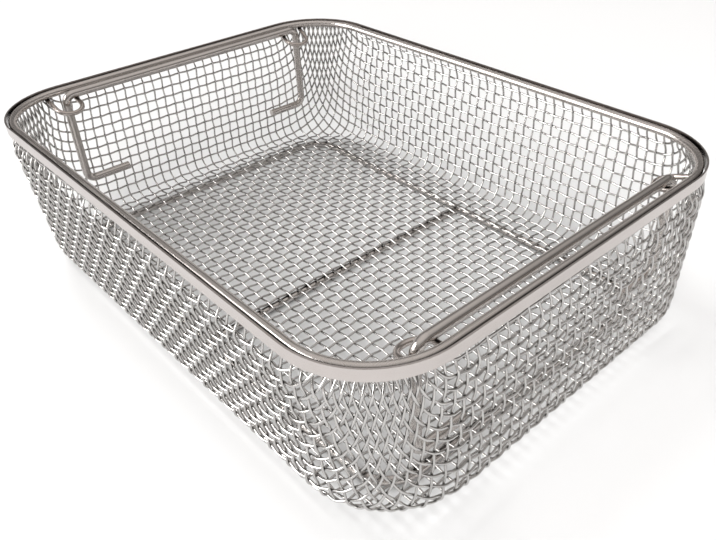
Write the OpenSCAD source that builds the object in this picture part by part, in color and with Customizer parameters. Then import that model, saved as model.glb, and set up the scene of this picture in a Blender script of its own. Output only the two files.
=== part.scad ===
// Deep wire-mesh basket with drop handles, for steam sterilising.
// Frame: +X along the length, +Y across, +Z up, origin on the ground under the middle.
// The rim's outer band is the reference outline: every other outline is a step in or out of it.

/* [Basket] */
// Length over the rim band
basket_l = 305; // [290:1:320]
// Width over the rim band
basket_w = 230; // [220:1:240]
// Height from the ground to the top of the rim
basket_h = 84; // [78:1:96]
// Corner radius of the rim band's outer face
corner_r = 40; // [36:1:41]

/* [Mesh] */
// Distance from wire to wire in the weave
pitch = 6; // [6:0.5:7]
// Diameter of the weave's wire
wire_d = 1.2; // [1:0.1:1.4]
// Radius of the bend from wall to floor, on its outside
floor_bend = 11.4; // [10:0.2:13]
// How far the outside of the pressed walls stands out beyond the rim band
wall_out = 2; // [1.8:0.1:2.4]
// Depth of the uppermost level wire below the rim's top
top_wire = 11; // [10:0.5:13]
// Mesh openings from one open cell to the next (the rest of the weave is closed)
open_step = 5; // [5:1:7]

/* [Rim] */
// Thickness of the flat band around the outside
band_t = 0.8; // [0.6:0.1:1]
// Height of the flat band
band_h = 5.3; // [4.8:0.1:6]
// Thickness of the flattened mesh edge held between the band and the inner rod
edge_t = 0.8; // [0.6:0.1:1]
// Depth of the groove from the rim's top down to the mesh edge
groove_h = 1.5; // [1:0.1:2]
// Diameter of the inner rim rod
rim_rod_d = 4; // [3.6:0.1:4.2]
// Depth of the inner rim rod's top below the band's top
rim_rod_down = 0.3; // [0.1:0.1:0.5]
// Depth to which welded rods are pressed flat
weld_flat = 0.1; // [0.05:0.01:0.15]

/* [Base] */
// Diameter of the rods under the floor
base_rod_d = 4; // [3.6:0.1:4.4]
// Distance from the band's outer face in to the base ring, at each end
ring_end_in = 21; // [20:1:30]
// Distance from the band's outer face in to the base ring, at each long side
ring_side_in = 26; // [20:1:34]
// Corner radius of the base ring, at the rod's centre
ring_r = 18; // [12:1:24]
// Place of the cross bar along the length
bar_x = 5; // [-20:1:20]

/* [Eyes] */
// Diameter of the eye wire
eye_wire = 2.6; // [2.2:0.1:2.8]
// Radius of the eye's loop, at the wire's centre
eye_r = 7; // [7:0.1:8]
// Length of the eye's straight arms inward of the rim rod
eye_arm = 9.4; // [9.2:0.1:11]
// Slope of the eyes down toward the middle of the basket
eye_slope = 16; // [12:1:18]
// How far the near left eye is set from its handle leg
left_near_set = -0.7; // [-1:0.1:1]
// How far the far left eye is set from its handle leg
left_far_set = -0.5; // [-1:0.1:1]
// How far the near right eye is set from its handle leg
right_near_set = 0.7; // [-1:0.1:1]
// How far the far right eye is set from its handle leg
right_far_set = 2.2; // [0:0.1:2.4]

/* [Handles] */
// Diameter of the handle rod
handle_d = 4.6; // [4:0.1:4.8]
// How much less than the basket's width a handle measures from leg to leg
handle_less = 71; // [70:0.5:73]
// Height from the foot's centre to the grip's centre
handle_h = 52; // [48:0.5:54]
// Bend radius at the rod's centre
handle_bend = 5; // [5:0.1:6]
// Length of each turned-in foot, from the leg's centre to the cut end
foot_l = 26; // [20:1:30]
// Distance from the band's outer face in to the left handle
left_gap = 9.8; // [9.8:0.1:11]
// Distance from the band's outer face in to the right handle
right_gap = 12.5; // [11:0.1:13]
// Shift of the left handle across the width
left_shift = 5; // [4:0.1:5.2]
// Shift of the right handle across the width
right_shift = -1.7; // [-2.5:0.1:-1]
// Gap left between a lowered handle and the eyes it hangs on
hang_gap = 0.3; // [0.25:0.05:0.4]

/* [Hidden] */

$fn = 64;

half_l = basket_l / 2;
half_w = basket_w / 2;

// Half lengths of the straight sides, which are also the corner centres.
side_x = half_l - corner_r;
side_y = half_w - corner_r;

// The weave is two wires thick: a web half that thick, with wires half sunk in both its faces.
web_t = wire_d;
proud = wire_d / 2;
web_out = wall_out - proud;
web_in = web_out - web_t;

// Levels from the ground up.
floor_z = base_rod_d - 2 * weld_flat + proud;
bend_top = floor_z + floor_bend;
band_bottom = basket_h - band_h;
shoulder_z = band_bottom - web_t;
edge_top = basket_h - groove_h;

// Steps in from the band's outer face to the mesh edge's inner face and the rim rod's centre.
edge_in = band_t + edge_t;
rod_in = edge_in + rim_rod_d / 2 - weld_flat;
rod_z = basket_h - rim_rod_down - rim_rod_d / 2;

// An open cell is a wire narrower than the pitch.
cell = pitch - wire_d;
cell_step = open_step * pitch;

ring_l = basket_l - 2 * ring_end_in;
ring_w = basket_w - 2 * ring_side_in;
handle_w = basket_w - handle_less;
top_wire_z = basket_h - top_wire;

// The top of each eye's arms is sunk into the rim rod by the depth of a weld.
eye_z = rod_z - rim_rod_d / 2 + weld_flat - eye_wire / 2 / cos(eye_slope);
// A lowered grip rests on the sloping arms.
rest_h = (eye_wire / 2 + hang_gap + handle_d / 2) / cos(eye_slope);

// Places of wires a pitch apart, half a pitch from the middle outward, that stay within reach.
function wires(reach) =
    let (last = floor(reach / pitch - 0.5))
    [for (i = [-last - 1 : last]) (i + 0.5) * pitch];

// Places of open cells from the middle outward that stay within reach.
function cells(reach) =
    let (last = floor(reach / cell_step))
    [for (i = [-last : last]) i * cell_step];

// Rounded outline of the basket, grown beyond the rim band by grow.
module outline(grow) {
    square([2 * side_x, 2 * (half_w + grow)], center = true);
    square([2 * (half_l + grow), 2 * side_y], center = true);
    for (sx = [-1, 1], sy = [-1, 1])
        translate([sx * side_x, sy * side_y])
            circle(r = corner_r + grow);
}

// Ring of plate between two outlines.
module plate_ring(inner, outer, height) {
    linear_extrude(height = height)
        difference() {
            outline(outer);
            outline(inner);
        }
}

// A profile carried round a rounded rectangle. x = 0 in the profile is the corner's centre.
module around(half_x, half_y) {
    for (side = [0, 1]) {
        rotate([0, 0, 180 * side]) {
            translate([half_x, half_y, 0])
                rotate_extrude(angle = 90)
                    children();
            translate([half_x, half_y, 0])
                rotate([90, 0, 0])
                    linear_extrude(height = 2 * half_y)
                        children();
            translate([-half_x, half_y, 0])
                rotate([0, 0, 90])
                    rotate_extrude(angle = 90)
                        children();
            translate([-half_x, half_y, 0])
                rotate([90, 0, 90])
                    linear_extrude(height = 2 * half_x)
                        children();
        }
    }
}

// Quarter ring that joins the wall to the floor.
module bend_profile() {
    centre_x = corner_r + web_out - floor_bend;
    translate([centre_x, bend_top])
        intersection() {
            difference() {
                circle(r = floor_bend);
                circle(r = floor_bend - web_t);
            }
            translate([0, -floor_bend])
                square(floor_bend);
        }
}

// Upright wires on the wall's inner face: straight sides first, then fanned round the corners.
module upright_wires() {
    mid = web_in + web_t / 2 - proud;
    for (x = wires(side_x), s = [-1, 1])
        translate([x, s * (half_w + mid)])
            square([wire_d, web_t], center = true);
    for (y = wires(side_y), s = [-1, 1])
        translate([s * (half_l + mid), y])
            square([web_t, wire_d], center = true);
    fan = floor(corner_r * PI / 2 / pitch);
    for (sx = [-1, 1], sy = [-1, 1], i = [0.5 : fan])
        translate([sx * side_x, sy * side_y])
            rotate([0, 0, atan2(sy, sx) - 45 + 90 * i / fan])
                translate([corner_r + mid, 0])
                    square([web_t, wire_d], center = true);
}

module walls() {
    translate([0, 0, bend_top])
        linear_extrude(height = shoulder_z + web_t - bend_top) {
            difference() {
                outline(web_out);
                outline(web_in);
            }
            upright_wires();
        }
    // Level wires round the outside.
    for (z = [top_wire_z : -pitch : bend_top])
        translate([0, 0, z - wire_d / 2])
            plate_ring(web_in, wall_out, wire_d);
}

// Two rows of open cells through the flat parts of the walls, between the raised wires.
module wall_cells() {
    upper_z = top_wire_z - 2.5 * pitch;
    for (z = [upper_z, upper_z - cell_step]) {
        for (x = cells(side_x))
            translate([x, 0, z])
                cube([cell, 2 * basket_w, cell], center = true);
        for (y = cells(side_y))
            translate([0, y, z])
                cube([2 * basket_l, cell, cell], center = true);
    }
}

// The wall steps in under the band and its flattened edge stands up in the groove.
module shoulder() {
    translate([0, 0, shoulder_z]) {
        plate_ring(-edge_in, web_out, web_t);
        plate_ring(-edge_in, -band_t, edge_top - shoulder_z);
    }
}

module floor_plate() {
    flat_in = web_out - floor_bend;
    translate([0, 0, floor_z])
        linear_extrude(height = web_t)
            difference() {
                outline(flat_in);
                for (x = cells(half_l + flat_in - pitch), y = cells(half_w + flat_in - pitch))
                    translate([x, y])
                        square(cell, center = true);
            }
    // Long wires on top.
    for (y = wires(side_y))
        translate([0, y, floor_z + web_t])
            cube([2 * (half_l + flat_in), wire_d, 2 * proud], center = true);
    // Cross wires underneath.
    for (x = wires(side_x))
        translate([x, 0, floor_z])
            cube([wire_d, 2 * (half_w + flat_in), 2 * proud], center = true);
}

module mesh_tub() {
    color("gainsboro") {
        difference() {
            walls();
            wall_cells();
        }
        around(side_x, side_y)
            bend_profile();
        floor_plate();
        shoulder();
    }
}

module rim_band() {
    color("lightgray")
        translate([0, 0, band_bottom])
            plate_ring(-band_t, 0, band_h);
}

// The rod round the inside of the rim, pressed flat where it meets the mesh edge.
module rim_ring() {
    around(side_x, side_y)
        intersection() {
            translate([corner_r - rod_in, rod_z])
                circle(d = rim_rod_d);
            translate([0, rod_z - rim_rod_d])
                square([corner_r - edge_in, 2 * rim_rod_d]);
        }
}

module rim_rod() {
    color("silver")
        rim_ring();
}

// Section of a base rod, pressed flat at the ground and where it meets the floor's wires.
module base_section() {
    flat_h = base_rod_d - 2 * weld_flat;
    intersection() {
        translate([0, flat_h / 2])
            circle(d = base_rod_d);
        translate([-base_rod_d, 0])
            square([2 * base_rod_d, flat_h]);
    }
}

module base_loop() {
    around(ring_l / 2 - ring_r, ring_w / 2 - ring_r)
        translate([ring_r, 0])
            base_section();
}

module base_ring() {
    color("silver")
        base_loop();
}

// Cross bar under the floor, its ends cut to the shape of the ring.
module base_bar() {
    color("silver")
        difference() {
            translate([bar_x, ring_w / 2, 0])
                rotate([90, 0, 0])
                    linear_extrude(height = ring_w)
                        base_section();
            base_loop();
        }
}

// Horseshoe of wire with its arms pointing along +X and their roots at the origin.
module eye_loop() {
    over = rim_rod_d / 2 - 2 * weld_flat;
    translate([-eye_arm, 0, 0])
        rotate([0, 0, 90])
            rotate_extrude(angle = 180)
                translate([eye_r, 0])
                    circle(d = eye_wire);
    for (side = [-1, 1])
        translate([-eye_arm, side * eye_r, 0])
            rotate([0, 90, 0])
                cylinder(h = eye_arm + over, d = eye_wire);
}

// How far out the rim rod's centre lies, at a given place across the width.
function rod_x(y) =
    abs(y) <= side_y
        ? half_l - rod_in
        : side_x + sqrt(pow(corner_r - rod_in, 2) - pow(abs(y) - side_y, 2));

// Mirrors a shape to the left end when end is -1.
module at_end(end) {
    mirror([end < 0 ? 1 : 0, 0, 0])
        children();
}

// An eye under the rim rod, turned so that both arms end under the rod. end is -1 or 1.
module eye(end, y) {
    x1 = rod_x(y - eye_r);
    x2 = rod_x(y + eye_r);
    color("silver")
        difference() {
            at_end(end)
                translate([(x1 + x2) / 2, y, eye_z])
                    rotate([0, 0, atan2(x1 - x2, 2 * eye_r)])
                        rotate([0, -eye_slope, 0])
                            eye_loop();
            rim_ring();
        }
}

module bend(turn) {
    rotate([turn, 0, 0])
        rotate([90, 0, 90])
            rotate_extrude(angle = 90)
                translate([handle_bend, 0])
                    circle(d = handle_d);
}

// One side of a handle, from the middle of the grip to the end of the turned-in foot.
module handle_half() {
    leg_y = handle_w / 2;
    bend_y = leg_y - handle_bend;
    rotate([-90, 0, 0])
        cylinder(h = bend_y, d = handle_d);
    translate([0, bend_y, -handle_bend])
        bend(0);
    translate([0, leg_y, handle_bend - handle_h])
        cylinder(h = handle_h - 2 * handle_bend, d = handle_d);
    translate([0, bend_y, handle_bend - handle_h])
        bend(-90);
    translate([0, bend_y, -handle_h])
        rotate([90, 0, 0])
            cylinder(h = foot_l - handle_bend, d = handle_d);
}

// A lowered handle, standing in from the band by gap and hanging on its eyes.
module handle(end, gap, shift) {
    arm_drop = (gap - rod_in) * tan(eye_slope);
    color("darkgray")
        translate([end * (half_l - gap), shift, eye_z - arm_drop + rest_h])
            for (side = [0, 1])
                mirror([0, side, 0])
                    handle_half();
}

module eye_left_near() { eye(-1, left_shift - handle_w / 2 + left_near_set); }
module eye_left_far() { eye(-1, left_shift + handle_w / 2 + left_far_set); }
module eye_right_near() { eye(1, right_shift - handle_w / 2 + right_near_set); }
module eye_right_far() { eye(1, right_shift + handle_w / 2 + right_far_set); }
module handle_left() { handle(-1, left_gap, left_shift); }
module handle_right() { handle(1, right_gap, right_shift); }

mesh_tub();
rim_band();
rim_rod();
base_ring();
base_bar();
eye_left_near();
eye_left_far();
eye_right_near();
eye_right_far();
handle_left();
handle_right();
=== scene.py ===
import math

import bpy
import numpy as np
from mathutils import Matrix, Vector


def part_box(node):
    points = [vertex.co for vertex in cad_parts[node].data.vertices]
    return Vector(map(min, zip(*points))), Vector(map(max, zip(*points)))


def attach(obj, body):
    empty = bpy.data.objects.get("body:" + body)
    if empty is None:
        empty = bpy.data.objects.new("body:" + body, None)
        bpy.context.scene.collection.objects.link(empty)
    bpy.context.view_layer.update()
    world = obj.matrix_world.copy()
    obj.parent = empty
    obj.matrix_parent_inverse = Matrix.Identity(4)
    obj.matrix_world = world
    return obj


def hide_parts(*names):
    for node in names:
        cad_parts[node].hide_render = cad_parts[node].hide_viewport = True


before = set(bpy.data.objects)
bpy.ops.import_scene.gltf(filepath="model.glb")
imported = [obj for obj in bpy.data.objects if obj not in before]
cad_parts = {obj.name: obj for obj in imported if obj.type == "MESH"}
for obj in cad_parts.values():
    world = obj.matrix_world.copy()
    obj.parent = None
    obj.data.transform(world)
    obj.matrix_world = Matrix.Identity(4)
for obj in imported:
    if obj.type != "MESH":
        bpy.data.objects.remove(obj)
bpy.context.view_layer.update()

# ---------------------------------------------------------------------------
# Camera
# It looks down into the basket from beyond the near right corner, and it leans a little.
camera_place = (0.26878, -0.20798, 0.23924)
camera_target = (0.11018, -0.06226, 0.084)
camera_roll = math.radians(-1.3104)

camera_data = bpy.data.cameras.new("camera")
camera = bpy.data.objects.new("camera", camera_data)
bpy.context.scene.collection.objects.link(camera)
bpy.context.scene.camera = camera
camera_data.sensor_width = 36.0
camera_data.lens = 37.404
camera_data.shift_x = -0.0504
camera_data.shift_y = 0.0025
camera_data.clip_start = 0.01
camera.location = camera_place
camera_aim = Vector(camera_target) - Vector(camera_place)
camera_turn = camera_aim.to_track_quat("-Z", "Y").to_matrix().to_4x4()
camera_turn = camera_turn @ Matrix.Rotation(camera_roll, 4, "Z")
camera.rotation_euler = camera_turn.to_euler()

# ---------------------------------------------------------------------------
# Studio
# A matt white floor and soft square lamps, in a room that is pale low down and overhead and dark in
# between, so that bright steel mirrors dark as well as light.
bpy.context.scene.view_settings.view_transform = "Standard"
lamp_aim = Vector((0, 0, 0.05))


def square_lamp(name, place, size, watts):
    """A square lamp turned to the middle of the basket."""
    data = bpy.data.lights.new(name, "AREA")
    data.shape = "SQUARE"
    data.size = size
    data.energy = watts
    lamp = bpy.data.objects.new(name, data)
    bpy.context.scene.collection.objects.link(lamp)
    lamp.location = place
    lamp.rotation_euler = (lamp_aim - Vector(place)).to_track_quat("-Z", "Y").to_euler()
    return lamp


# These light the floor, and the steel mirrors it. They aren't mirrored themselves, because that would
# bleach the band and the rods.
for lamp in (
    square_lamp("left_panel", (-2.2, -0.1, 3.0), size=1.8, watts=80),
    square_lamp("top_panel", (0.0, 0.0, 4.0), size=3.6, watts=30),
    square_lamp("front_fill", (2.1, -2.25, 1.65), size=2.4, watts=230),
):
    lamp.visible_glossy = False

# This one is only mirrored: it draws the glints on the walls and rods that face it.
glint_panel = square_lamp("side_panel", (-1.75, -2.75, 1.3), size=2.3, watts=140)
glint_panel.visible_diffuse = False


def add_node(tree, kind, inputs=None, **settings):
    """Adds a shader node. Each input takes a value, or a link where it is another node's output."""
    node = tree.nodes.new(kind)
    for name, value in settings.items():
        setattr(node, name, value)
    for socket, value in (inputs or {}).items():
        if isinstance(value, bpy.types.NodeSocket):
            tree.links.new(value, node.inputs[socket])
        else:
            node.inputs[socket].default_value = value
    return node


# The room's brightness by height, from 0 at eye level to 1 straight overhead, and its slightly warm tint.
room_levels = ((0.0, 0.85), (0.12, 0.85), (0.26, 0.16), (0.45, 0.16), (0.6, 0.38), (0.8, 0.7), (1.0, 0.8))
room_tint = (1.0, 0.96, 0.935)
room = bpy.data.worlds.new("studio_room")
bpy.context.scene.world = room
room.use_nodes = True
tree = room.node_tree
tree.nodes.clear()
direction = add_node(tree, "ShaderNodeTexCoord")
split = add_node(tree, "ShaderNodeSeparateXYZ", {"Vector": direction.outputs["Generated"]})
by_height = add_node(tree, "ShaderNodeValToRGB", {"Fac": split.outputs["Z"]})
stops = by_height.color_ramp.elements
stops.remove(stops[1])
for height, level in room_levels:
    stop = stops.new(height) if height > 0 else stops[0]
    stop.color = (*(level * tint for tint in room_tint), 1)

# The camera itself sees plain white behind the floor.
ray = add_node(tree, "ShaderNodeLightPath")
backdrop = add_node(
    tree,
    "ShaderNodeMix",
    {
        "Factor": ray.outputs["Is Camera Ray"],
        "A": by_height.outputs["Color"],
        "B": (1.0, 1.0, 1.0, 1.0),
    },
    data_type="RGBA",
)
glow = add_node(tree, "ShaderNodeBackground", {"Color": backdrop.outputs["Result"], "Strength": 1.0})
add_node(tree, "ShaderNodeOutputWorld", {"Surface": glow.outputs["Background"]})

# The floor is a shade paler to the camera than to the light, so that it runs into the white behind it.
floor_size = 6.0
floor_white = 0.52
floor_seen_paler = 0.07
bpy.ops.mesh.primitive_plane_add(size=floor_size)
floor = bpy.context.active_object
floor.name = "floor"
floor_paint = bpy.data.materials.new("matt_white_floor")
floor_paint.use_nodes = True
tree = floor_paint.node_tree
tree.nodes.clear()
ray = add_node(tree, "ShaderNodeLightPath")
shade = add_node(
    tree,
    "ShaderNodeMath",
    {0: ray.outputs["Is Camera Ray"], 1: floor_seen_paler, 2: floor_white},
    operation="MULTIPLY_ADD",
)
matt = add_node(tree, "ShaderNodeBsdfDiffuse", {"Color": shade.outputs["Value"]})
add_node(tree, "ShaderNodeOutputMaterial", {"Surface": matt.outputs["BSDF"]})
floor.data.materials.append(floor_paint)

# ---------------------------------------------------------------------------
# Woven tub
# One square sheet of plain-woven stainless wire, pressed into a deep tub and trimmed. Its wires keep their
# spacing, so they run straight on the flats, shear into diamonds round the floor's corners and crowd
# together in the upright ones.

# Weave: the spacing of its wires, their size, and how far they wave as they pass over and under.
# sheet_half is half its thickness, and lock_width the room that two wires take where cells are shut.
pitch = 6.03e-3
wire_radius = 0.56e-3
wire_sides = 8
crimp = 0.4e-3
sheet_half = 1.2e-3
lock_width = 2.8e-3

# How the sheet lay over the tub: its turn, the place of its middle crossing, and its wires to each side.
weave_turn = math.radians(-0.74)
weave_shift = np.array([-1.26e-3, 1.77e-3])
steps_x = 38
steps_y = 32

# Tub, at the middle of the sheet's thickness. The left wall stands further in than the right one, and
# the long walls lean in below draft_top. wall_draft is the slope of the end walls and of the long walls.
tub_low, tub_high = np.array(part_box("mesh_tub"))
band_low, band_high = np.array(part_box("rim_band"))
left_wall_in = 4.3e-3
tub_middle = np.array([left_wall_in / 2, 0.0])
wall_half = (tub_high - tub_low)[:2] / 2 - sheet_half - tub_middle
wall_corner = 43e-3
half_arc = wall_corner * math.pi / 4
wall_draft = np.array([0.0, 0.093])
draft_top = band_low[2] - 7.8e-3
floor_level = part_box("base_ring")[1][2] + sheet_half
floor_bend = 8.0e-3

# Edge: trimmed, and pressed flat over edge_rise to go between the band and the rim rod.
band_thick = 0.8e-3
edge_thick = 0.8e-3
edge_half = band_high[:2] - band_thick - edge_thick / 2
edge_rise = 7e-3
edge_top = band_high[2] - 1.6e-3
edge_flattened = 0.35
edge_crimp_lost = 0.85


def side_distance(plan, half, corner):
    """How far plan points lie outside an oblong with rounded corners."""
    past = np.abs(plan) - (half - corner)
    inside = np.minimum(past.max(axis=-1), 0)
    return np.hypot(np.maximum(past[..., 0], 0), np.maximum(past[..., 1], 0)) + inside - corner


def lean(height):
    """How far the end walls and the long walls stand in at a height."""
    return wall_draft * np.maximum(draft_top - height, 0)[..., None]


def tub_distance(points):
    """How far points lie outside the tub's middle surface."""
    height = points[..., 2]
    side = side_distance(points[..., :2] - tub_middle, wall_half - lean(height), wall_corner)
    out_by = np.maximum(side + floor_bend, 0)
    down_by = np.maximum(floor_level + floor_bend - height, 0)
    return np.hypot(out_by, down_by) - floor_bend


def tub_normal(points):
    """Outward unit normals of the tub, from the slopes of its distance."""
    step = 1e-7
    tiny = 1e-9
    slopes = [tub_distance(points + step * e) - tub_distance(points - step * e) for e in np.eye(3)]
    normal = np.stack(slopes, axis=-1) / (2 * step)
    return normal / np.maximum(np.linalg.norm(normal, axis=-1, keepdims=True), tiny)


def walk(start, heading, count):
    """Places of crossings along a straight wire that runs from start over the tub."""
    strides = 8
    places = [start]
    place, ahead = start, heading
    for _ in range(count):
        for _ in range(strides):
            normal = tub_normal(place)
            ahead = ahead - normal * (ahead @ normal)
            ahead = ahead / np.linalg.norm(ahead)
            place = place + ahead * pitch / strides
            place = place - tub_normal(place) * tub_distance(place)
        places.append(place)
    return np.array(places)


def crossing(first, second, corner):
    """The crossings one pitch from both first and second on the tub, across their cells from corner."""
    rounds = 12
    longest_move = 0.25 * pitch
    tiny = 1e-12
    place = first + second - corner
    for _ in range(rounds):
        from_first, from_second = place - first, place - second
        miss = np.stack(
            [
                (from_first * from_first).sum(-1) - pitch**2,
                (from_second * from_second).sum(-1) - pitch**2,
                tub_distance(place) * pitch,
            ],
            axis=-1,
        )
        slope = np.stack([2 * from_first, 2 * from_second, tub_normal(place) * pitch], axis=-2)
        move = np.linalg.solve(slope + tiny * np.eye(3), miss[..., None])[..., 0]
        size = np.linalg.norm(move, axis=-1, keepdims=True)
        place = place - move * np.minimum(1, longest_move / np.maximum(size, tiny))
    return place


def drape():
    """Crossings of the sheet laid over the tub, as an array [x step, y step, xyz].

    Two wires run straight from the middle crossing. Each other crossing is then set one pitch from the
    two next to it, outwards from the middle, because a weave shears but hardly stretches.
    """
    net = np.zeros((2 * steps_x + 1, 2 * steps_y + 1, 3))
    start = np.array([*weave_shift, floor_level])
    along = np.array([math.cos(weave_turn), math.sin(weave_turn), 0.0])
    across = np.array([-along[1], along[0], 0.0])
    net[steps_x:, steps_y] = walk(start, along, steps_x)
    net[steps_x::-1, steps_y] = walk(start, -along, steps_x)
    net[steps_x, steps_y:] = walk(start, across, steps_y)
    net[steps_x, steps_y::-1] = walk(start, -across, steps_y)
    for side_x in (1, -1):
        for side_y in (1, -1):
            for row in range(2, steps_x + steps_y + 1):
                i = np.arange(max(1, row - steps_y), min(steps_x, row - 1) + 1)
                x, y = steps_x + side_x * i, steps_y + side_y * (row - i)
                back_x, back_y = x - side_x, y - side_y
                net[x, y] = crossing(net[back_x, y], net[x, back_y], net[back_x, back_y])
    return net


def unrolled(points):
    """Distance round the wall from the middle of the nearest corner, positive towards the end walls."""
    centre = wall_half - wall_corner
    plan = np.abs(points[..., :2] - tub_middle) + lean(points[..., 2]) - centre
    x, y = np.moveaxis(plan, -1, 0)
    round_corner = half_arc - wall_corner * np.arctan2(y, x)
    return np.where(y <= 0, half_arc - y, np.where(x <= 0, x - half_arc, round_corner))


def rolled(distance, height, side_x, side_y):
    """The point on the wall at a distance round it from a corner, the reverse of unrolled."""
    centre = np.moveaxis(wall_half - wall_corner - lean(height), -1, 0)
    angle = math.pi / 4 - np.clip(distance, -half_arc, half_arc) / wall_corner
    x = centre[0] + wall_corner * np.cos(angle) - np.maximum(-distance - half_arc, 0)
    y = centre[1] + wall_corner * np.sin(angle) - np.maximum(distance - half_arc, 0)
    return np.stack([x * side_x + tub_middle[0], y * side_y + tub_middle[1], height], axis=-1)


def crowd_corners(net):
    """Spreads the wires that meet in each upright corner to the closest that they can pack.

    There the cells shut to slivers, in a V that opens upwards from its tip. Each pair of wires takes up
    lock_width of the V's width, and the push dies out over push_fade beside it.
    """
    narrow_angle = 27
    shut_angle = 8
    highest = band_high[2] + 1e-3
    push_fade = 26e-3
    tiny = 1e-3
    spread = net.copy()
    for side_x in (1, -1):
        for side_y in (1, -1):
            i, j = np.meshgrid(np.arange(1, steps_x + 1), np.arange(1, steps_y + 1), indexing="ij")
            x, y = steps_x + side_x * i, steps_y + side_y * j
            place = net[x, y]
            along, across = place - net[x - side_x, y], place - net[x, y - side_y]
            cosine = (along * across).sum(-1) / pitch**2
            angle = np.degrees(np.arccos(np.clip(cosine, -1, 1)))
            height = place[..., 2]
            tip = height[(angle < narrow_angle) & (height < highest)].min()
            shut = (angle < shut_angle) & (height < highest)

            # How many wires past the tip a crossing is each way decides its place across the V, from
            # -1 at one edge to 1 at the other.
            lead = np.median((i - j)[shut])
            total = np.median((i + j)[shut] - (height[shut] - tip) / pitch)
            past_x, past_y = i - (total + lead) / 2, j - (total - lead) / 2
            share = np.clip((past_x - past_y) / np.maximum(past_x + past_y, tiny), -1, 1)
            share = np.where((past_x <= 0) & (past_y <= 0), 0, share)
            share = np.where((past_y <= 0) & (past_x > 0), 1, share)
            share = np.where((past_x <= 0) & (past_y > 0), -1, share)

            distance = unrolled(place)
            half_width = lock_width / 2 * np.maximum(height - tip, 0) / pitch
            push = np.clip(1 - (np.abs(distance) - half_width) / push_fade, 0, 1)
            moved = rolled(distance + share * half_width * push, height, side_x, side_y)
            on_wall = height > floor_level + floor_bend
            spread[x[on_wall], y[on_wall]] = moved[on_wall]
    return spread


def even_out(net):
    """Keeps the cells' sides near a pitch and their narrow way open, a little at a time."""
    rounds = 150
    waste_height = 95e-3
    shortest_side, longest_side = 0.86 * pitch, 1.01 * pitch
    eagerness = 1.3
    straightening = 0.01
    tiny = 1e-9
    used = net[..., 2] < waste_height
    ways = [
        (np.s_[:-1, :], np.s_[1:, :], shortest_side, longest_side),
        (np.s_[:, :-1], np.s_[:, 1:], shortest_side, longest_side),
        (np.s_[:-1, :-1], np.s_[1:, 1:], lock_width, math.inf),
        (np.s_[1:, :-1], np.s_[:-1, 1:], lock_width, math.inf),
    ]
    for _ in range(rounds):
        move, weight = np.zeros_like(net), np.zeros(net.shape[:2])
        for a, b, least, most in ways:
            gap = net[b] - net[a]
            length = np.linalg.norm(gap, axis=-1)
            off = np.where(used[a] & used[b], length - np.clip(length, least, most), 0)
            pull = (off / (2 * np.maximum(length, tiny)))[..., None] * gap
            move[a] += pull
            move[b] -= pull
            weight[a] += off != 0
            weight[b] += off != 0
        net = net + eagerness * move / np.maximum(weight, 1)[..., None]
        bend = np.zeros_like(net)
        bend[1:-1] += (net[2:] + net[:-2] - 2 * net[1:-1]) * used[2:, :, None]
        bend[:, 1:-1] += (net[:, 2:] + net[:, :-2] - 2 * net[:, 1:-1]) * used[:, 2:, None]
        net = net + straightening * bend * used[..., None]
        net = net - tub_normal(net) * tub_distance(net)[..., None]
    return net


def wire_path(places, over):
    """Middle line of one woven wire: its points, the tub's normals and how far each is in the edge.

    over is 1 where the wire's first crossing passes outside the other wire, and -1 where inside.
    """
    samples = 5
    last = len(places) - 1
    along = np.linspace(0, last, last * samples + 1)
    cell = np.clip(along.astype(int), 0, last - 1)
    share = (along - cell)[:, None]
    before, start = places[np.maximum(cell - 1, 0)], places[cell]
    end, after = places[cell + 1], places[np.minimum(cell + 2, last)]
    line = 0.5 * (
        2 * start
        + (end - before) * share
        + (2 * before - 5 * start + 4 * end - after) * share**2
        + (3 * start - before - 3 * end + after) * share**3
    )
    line = line - tub_normal(line) * tub_distance(line)[:, None]
    normal = tub_normal(line)
    edge = np.clip((line[:, 2] - band_low[2]) / edge_rise + 1, 0, 1)
    edge = edge * edge * (3 - 2 * edge)
    wave = crimp * over * np.cos(math.pi * along) * (1 - edge_crimp_lost * edge)
    out_by = side_distance(line[:, :2], edge_half, wall_corner)
    return line + normal * (wave - out_by * edge)[:, None], normal, edge


def wire_rings(line, normal, edge):
    """Rings of points round a wire, which is pressed flatter along the normal in the edge."""
    ahead = np.gradient(line, axis=0)
    ahead = ahead / np.linalg.norm(ahead, axis=1, keepdims=True)
    across = np.cross(ahead, normal)
    across = across / np.linalg.norm(across, axis=1, keepdims=True)
    up = np.cross(across, ahead)
    angle = np.arange(wire_sides) * 2 * math.pi / wire_sides
    thickness = wire_radius * (1 - edge_flattened * edge)
    round_up = (np.cos(angle)[None, :, None] * up[:, None, :]) * thickness[:, None, None]
    round_across = np.sin(angle)[None, :, None] * across[:, None, :] * wire_radius
    return line[:, None, :] + round_up + round_across


def stretches(wanted):
    """The stretches of a row that are wanted, each as an array of places in it."""
    bounds = np.where(np.diff(wanted.astype(int)) != 0)[0] + 1
    return [run for run in np.split(np.arange(len(wanted)), bounds) if wanted[run[0]]]


def wires(places, over):
    """Rings of one wire, trimmed at the edge. A stretch that runs level inside the rim is left out."""
    least_climb = 0.4
    tubes = []
    for run in stretches(places[:, 2] < edge_top + pitch):
        if len(run) < 2:
            continue
        line, normal, edge = wire_path(places[run], over * (-1) ** run[0])
        ahead = np.gradient(line, axis=0)
        climb = np.abs(ahead[:, 2]) / np.linalg.norm(ahead, axis=1)
        level_in_rim = (line[:, 2] > band_low[2]) & (climb < least_climb)
        for part in stretches((line[:, 2] < edge_top) & ~level_in_rim):
            if len(part) > 2:
                tubes.append(wire_rings(line[part], normal[part], edge[part]))
    return tubes


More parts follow.
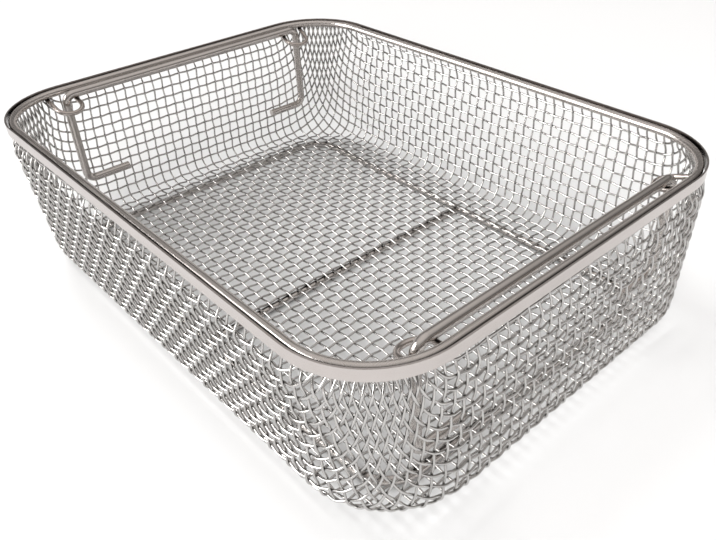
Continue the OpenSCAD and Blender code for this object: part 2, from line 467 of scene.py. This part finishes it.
def wires_object(name, tubes):
    """One mesh of many wires with capped ends.

    Its grain attribute keeps how far along its wire each point is, on which side, and a number from 0 to
    1 for its wire. wire_step sets the numbers of wires that lie together far apart.
    """
    wire_step = 0.61803
    verts, faces, grain = [], [], []
    start = 0
    side = np.arange(wire_sides)
    beside = (side + 1) % wire_sides
    for number, rings in enumerate(tubes):
        count = len(rings)
        verts.append(rings.reshape(-1, 3))
        ring = np.arange(count - 1)[:, None] * wire_sides + start
        next_ring = ring + wire_sides
        quads = np.stack([ring + side, ring + beside, next_ring + beside, next_ring + side], axis=-1)
        faces += quads.reshape(-1, 4).tolist()
        faces.append((side[::-1] + start).tolist())
        faces.append((side + start + (count - 1) * wire_sides).tolist())
        point_grain = np.empty((count, wire_sides, 3))
        steps = np.linalg.norm(np.diff(rings[:, 0], axis=0), axis=1)
        point_grain[..., 0] = np.concatenate([[0], steps.cumsum()])[:, None]
        point_grain[..., 1] = np.sin(side * 2 * math.pi / wire_sides)
        point_grain[..., 2] = number * wire_step % 1
        grain.append(point_grain.reshape(-1, 3))
        start += count * wire_sides
    mesh = bpy.data.meshes.new(name)
    mesh.from_pydata(np.concatenate(verts).tolist(), [], faces)
    mesh.shade_smooth()
    along = mesh.attributes.new("grain", "FLOAT_VECTOR", "POINT")
    along.data.foreach_set("vector", np.concatenate(grain).ravel())
    obj = bpy.data.objects.new(name, mesh)
    bpy.context.scene.collection.objects.link(obj)
    return obj


net = even_out(crowd_corners(drape()))
long_wires = [wires(net[:, y], -((-1) ** y)) for y in range(2 * steps_y + 1)]
cross_wires = [wires(net[x], (-1) ** x) for x in range(2 * steps_x + 1)]
weave = [
    wires_object("long_wires_front", sum(long_wires[:steps_y], [])),
    wires_object("long_wires_back", sum(long_wires[steps_y:], [])),
    wires_object("cross_wires_left", sum(cross_wires[:steps_x], [])),
    wires_object("cross_wires_right", sum(cross_wires[steps_x:], [])),
]


def hex_rgb(code):
    """A colour written as an sRGB hex code, as linear red, green and blue, with full alpha."""
    parts = [int(code[i : i + 2], 16) / 255 for i in (0, 2, 4)]
    linear = [part / 12.92 if part <= 0.04045 else ((part + 0.055) / 1.055) ** 2.4 for part in parts]
    return (*linear, 1.0)


def stretched_noise(tree, vector, grain, detail):
    """Noise whose grain has the given size along each axis of the vector."""
    scale = tuple(1 / size for size in grain)
    stretched = add_node(tree, "ShaderNodeMapping", {"Vector": vector, "Scale": scale})
    inputs = {"Vector": stretched.outputs["Vector"], "Scale": 1.0, "Detail": detail}
    noise = add_node(tree, "ShaderNodeTexNoise", inputs)
    return noise.outputs["Fac"]


def in_metal(tree, grain, detail):
    """Noise that is fixed in the metal, with its grain's size in metres along X, Y and Z."""
    place = add_node(tree, "ShaderNodeTexCoord")
    return stretched_noise(tree, place.outputs["Object"], grain, detail)


def steel(name, colour, stain, roughness, pattern, relief):
    """Stainless steel of one finish.

    Its fine pattern sets gloss and relief, and its tone drifts from place to place. Where other wires or
    rods lie close, painted shade darkens the colour to a dark brown-grey, standing in for the shade in the
    gaps.
    """
    cloud_size = 16.7e-3
    least_stain = 0.1
    painted_shade_colour = "352F2C"
    painted_shade_reach = 2.2e-3
    darkest_openness, unshaded_openness = 0.25, 0.9
    relief_height = 0.04e-3
    gloss_swing = 0.4
    material = bpy.data.materials.new(name)
    material.use_nodes = True
    tree = material.node_tree
    surface = tree.nodes["Principled BSDF"]
    fine = pattern(tree)

    cloud = in_metal(tree, (cloud_size, cloud_size, cloud_size), detail=3)
    drift = add_node(
        tree,
        "ShaderNodeMath",
        {0: cloud, 1: fine, 2: least_stain},
        operation="MULTIPLY_ADD",
    )
    tone = add_node(
        tree,
        "ShaderNodeMix",
        {"Factor": drift.outputs["Value"], "A": hex_rgb(colour), "B": hex_rgb(stain)},
        data_type="RGBA",
    )
    # Painted shade: where other wires or rods lie within a couple of millimetres, the colour darkens to a
    # dark brown-grey.
    nearby = add_node(tree, "ShaderNodeAmbientOcclusion", {"Distance": painted_shade_reach}, samples=6)
    openness = add_node(
        tree,
        "ShaderNodeMapRange",
        {"Value": nearby.outputs["AO"], "From Min": darkest_openness, "From Max": unshaded_openness},
    )
    painted_shade_tone = add_node(
        tree,
        "ShaderNodeMix",
        {
            "Factor": openness.outputs["Result"],
            "A": hex_rgb(painted_shade_colour),
            "B": tone.outputs["Result"],
        },
        data_type="RGBA",
    )
    gloss = add_node(
        tree,
        "ShaderNodeMapRange",
        {
            "Value": fine,
            "To Min": roughness * (1 - gloss_swing),
            "To Max": roughness * (1 + gloss_swing),
        },
    )
    bump = add_node(
        tree,
        "ShaderNodeBump",
        {"Height": fine, "Strength": relief, "Distance": relief_height},
    )
    surface.inputs["Metallic"].default_value = 1.0
    tree.links.new(painted_shade_tone.outputs["Result"], surface.inputs["Base Color"])
    tree.links.new(gloss.outputs["Result"], surface.inputs["Roughness"])
    tree.links.new(bump.outputs["Normal"], surface.inputs["Normal"])
    return material


def along_wire(tree):
    """Die lines along each wire, from its own length in metres, side and number."""
    line_length = 5.56e-3
    lines_per_side = 12
    wires_apart = 120
    grain = add_node(tree, "ShaderNodeAttribute", attribute_name="grain")
    sizes = (line_length, 1 / lines_per_side, 1 / wires_apart)
    return stretched_noise(tree, grain.outputs["Vector"], sizes, detail=4)


# Drawn stainless wire, electropolished after weaving, which gives each wire a sharp bright glint. The
# die's lines are drawn a few to a wire, as the true ones are too fine to show.
wire_steel = steel(
    "electropolished_drawn_wire",
    colour="D9D8D6",
    stain="AEAAA7",
    roughness=0.11,
    pattern=along_wire,
    relief=0.25,
)
for piece in weave:
    piece.data.materials.append(wire_steel)
    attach(piece, "basket")
    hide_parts("mesh_tub")

# ---------------------------------------------------------------------------
# Rim band
# A flat stainless strip, cold-rolled, polished along its length, bent round the outside of the tub's
# edge and welded, so that its fine lines run level round the basket.


def level_lines(tree):
    """Lines that run level, whichever way the strip faces.

    They are drawn half a millimetre apart, as true rolling lines are too fine to show.
    """
    line_length = 83.3e-3
    line_spacing = 0.5556e-3
    return in_metal(tree, (line_length, line_length, line_spacing), detail=5)


def dress(names, material):
    """Gives solids a material in place of their plain one."""
    for name in names:
        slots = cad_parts[name].data.materials
        slots.clear()
        slots.append(material)


# Polished strip: a soft mirror, streaked along its length.
band_steel = steel(
    "polished_rolled_strip",
    colour="D8D2CF",
    stain="C4BCB8",
    roughness=0.2,
    pattern=level_lines,
    relief=0.3,
)
dress(["rim_band"], band_steel)

# ---------------------------------------------------------------------------
# Rim rod and base ring
# Drawn stainless rods, bent to rounded oblongs: one is welded inside the tub's edge, the other under its
# floor. Their lines turn with them, along X at the long sides and along Y at the ends.

# A drawn rod's own lines are too fine to show, so they are made as coarse as this.
rod_line_length = 40e-3
rod_line_spacing = 0.7143e-3
rod_lines_along_x = (rod_line_length, rod_line_spacing, rod_line_spacing)
rod_lines_along_y = (rod_line_spacing, rod_line_length, rod_line_spacing)


def ring_lines(tree):
    """Lines along X on the long sides and along Y on the ends, with a soft change in the corners."""
    change_width = 24e-3
    rim_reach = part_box("rim_rod")[1]
    place = add_node(tree, "ShaderNodeTexCoord")
    split = add_node(tree, "ShaderNodeSeparateXYZ", {"Vector": place.outputs["Object"]})
    inset = {}
    for axis, reach in (("X", rim_reach.x), ("Y", rim_reach.y)):
        size = add_node(tree, "ShaderNodeMath", {0: split.outputs[axis]}, operation="ABSOLUTE")
        left = add_node(tree, "ShaderNodeMath", {0: reach, 1: size.outputs["Value"]}, operation="SUBTRACT")
        inset[axis] = left.outputs["Value"]
    nearer_end = add_node(tree, "ShaderNodeMath", {0: inset["Y"], 1: inset["X"]}, operation="SUBTRACT")
    share = add_node(
        tree,
        "ShaderNodeMapRange",
        {
            "Value": nearer_end.outputs["Value"],
            "From Min": -change_width / 2,
            "From Max": change_width / 2,
        },
    )
    both = add_node(
        tree,
        "ShaderNodeMix",
        {
            "Factor": share.outputs["Result"],
            "A": in_metal(tree, rod_lines_along_x, detail=4),
            "B": in_metal(tree, rod_lines_along_y, detail=4),
        },
        data_type="FLOAT",
    )
    return both.outputs["Result"]


# Drawn rod, tumbled to an even satin gloss that blurs what it mirrors.
ring_steel = steel(
    "satin_drawn_rod",
    colour="D6D1CD",
    stain="BDB5AF",
    roughness=0.26,
    pattern=ring_lines,
    relief=0.3,
)
dress(["rim_rod", "base_ring"], ring_steel)

# ---------------------------------------------------------------------------
# Base bar and handles
# Lengths of drawn stainless rod that lie along Y: the bar is welded across the base ring, and each handle
# is one rod, bent square, whose legs slide in two eyes and whose feet turn in to stop them.


def straight_lines(tree):
    """Lines along Y, as on the rim rod's ends."""
    return in_metal(tree, rod_lines_along_y, detail=4)


# Drawn rod, polished where hands and the steriliser's rack rub it, with a clear streak of light along it.
handle_steel = steel(
    "polished_drawn_rod",
    colour="D4CFCB",
    stain="B5AEA9",
    roughness=0.2,
    pattern=straight_lines,
    relief=0.3,
)
dress(["handle_left", "handle_right", "base_bar"], handle_steel)

# ---------------------------------------------------------------------------
# Eyes
# Four short stainless wires, each bent to a horseshoe and welded under the rim rod as a guide for a
# handle's leg.


def fine_grain(tree):
    """An even grain. It is half a millimetre across, as a pickled surface's own is too fine to show."""
    grain_size = 0.5263e-3
    return in_metal(tree, (grain_size, grain_size, grain_size), detail=5)


# Bent wire, pickled after welding, which leaves it a little darker than the rods and finely grained.
eye_steel = steel(
    "pickled_bent_wire",
    colour="CFC8C3",
    stain="A79E98",
    roughness=0.22,
    pattern=fine_grain,
    relief=0.4,
)
dress([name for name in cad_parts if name.startswith("eye_")], eye_steel)
